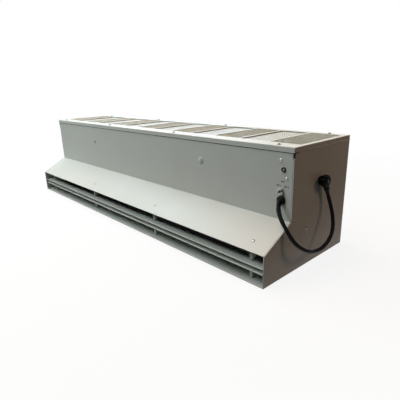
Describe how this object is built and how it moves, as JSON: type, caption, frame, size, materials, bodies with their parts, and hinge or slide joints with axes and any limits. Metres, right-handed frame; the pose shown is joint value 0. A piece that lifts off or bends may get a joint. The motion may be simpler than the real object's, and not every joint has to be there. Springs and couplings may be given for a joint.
{
  "type": "air curtain",
  "caption": "Long sheet-metal air curtain: perforated intake lid, sloping hood over an outlet slot with two tilting vanes, side plug and lead.",
  "frame": {"origin": "centre of the four wall holes, on the outer face of the base plate", "axes": "+X along the length, -Y out of the outlet, +Z from the wall side to the intake lid; the pictured lying pose"},
  "size_m": [1.2453, 0.339, 0.2956],
  "materials": {
    "casing_paint": "semi-gloss powder coat, light grey",
    "dark_mesh": "matt",
    "zinc_sheet": "galvanised",
    "bright_steel": "nickel plated",
    "impeller_metal": "mill",
    "motor_paint": "satin",
    "black_rubber": "matt",
    "capacitor_case": "gloss",
    "black_moulding": "satin",
    "lead_sheath": "semi-matt",
    "button_cap": "gloss"
  },
  "bodies": {
    "casing": {"base_plate": "casing_paint", "front_cover": "casing_paint", "rear_panel": "casing_paint", "left_end_panel": "casing_paint", "right_end_panel": "casing_paint", "lid": "casing_paint", "perforated_plate_1": "casing_paint", "perforated_plate_2": "casing_paint", "perforated_plate_3": "casing_paint", "perforated_plate_4": "casing_paint", "perforated_plate_5": "casing_paint", "perforated_plate_6": "casing_paint", "mesh_screens": "dark_mesh", "lid_screws": "bright_steel", "blanking_plugs": "casing_paint", "hood_screws": "bright_steel", "vane_posts": "casing_paint", "upper_rod": "zinc_sheet", "lower_rod": "zinc_sheet", "fan_deck": "motor_paint", "scroll_1": "zinc_sheet", "scroll_2": "zinc_sheet", "scroll_3": "zinc_sheet", "scroll_4": "zinc_sheet", "scroll_5": "zinc_sheet", "scroll_6": "zinc_sheet", "motor_left": "motor_paint", "motor_middle": "motor_paint", "motor_right": "motor_paint", "motor_cradles": "zinc_sheet", "rubber_rings": "black_rubber", "capacitors": "capacitor_case", "toggle_body": "black_moulding", "toggle_nut": "bright_steel", "cutout_body": "black_moulding", "cutout_collar": "black_moulding", "cutout_screws": "bright_steel", "lead_gland": "black_moulding", "gland_locknut": "black_moulding", "supply_lead": "lead_sheath", "elbow_plug": "black_moulding", "plug_nut": "black_moulding", "side_socket": "black_moulding", "socket_nut": "black_moulding", "end_rivets": "bright_steel", "terminal_block": "button_cap", "wiring_loom": "lead_sheath"},
    "rotor_left": {"impeller_1": "impeller_metal", "impeller_2": "impeller_metal", "shaft_left": "bright_steel"},
    "rotor_middle": {"impeller_3": "impeller_metal", "impeller_4": "impeller_metal", "shaft_middle": "bright_steel"},
    "rotor_right": {"impeller_5": "impeller_metal", "impeller_6": "impeller_metal", "shaft_right": "bright_steel"},
    "upper_vane": {"upper_vane": "casing_paint"},
    "lower_vane": {"lower_vane": "casing_paint"},
    "toggle_lever": {"toggle_lever": "bright_steel"},
    "reset_button": {"reset_button": "button_cap"}
  },
  "joints": [
    {"name": "rotor_left_spin", "type": "hinge", "parent": "casing", "child": "rotor_left", "pos_m": [-0.36554, 0.045, 0.126], "axis": [1, 0, 0], "continuous": true},
    {"name": "rotor_middle_spin", "type": "hinge", "parent": "casing", "child": "rotor_middle", "pos_m": [0, 0.045, 0.126], "axis": [1, 0, 0], "continuous": true},
    {"name": "rotor_right_spin", "type": "hinge", "parent": "casing", "child": "rotor_right", "pos_m": [0.36554, 0.045, 0.126], "axis": [1, 0, 0], "continuous": true},
    {"name": "upper_vane_tilt", "type": "hinge", "parent": "casing", "child": "upper_vane", "pos_m": [0, -0.1475, 0.043], "axis": [1, 0, 0], "range_deg": [-12, 12]},
    {"name": "lower_vane_tilt", "type": "hinge", "parent": "casing", "child": "lower_vane", "pos_m": [0, -0.1475, 0.03], "axis": [1, 0, 0], "range_deg": [-12, 12]},
    {"name": "toggle_throw", "type": "hinge", "parent": "casing", "child": "toggle_lever", "pos_m": [0.57, -0.0745, 0.193], "axis": [0, 0, 1], "range_deg": [-12, 12]},
    {"name": "reset_press", "type": "slide", "parent": "casing", "child": "reset_button", "axis": [0, 1, 0], "range_m": [0, 0.002], "stiffness_N_per_m": 400}
  ]
}
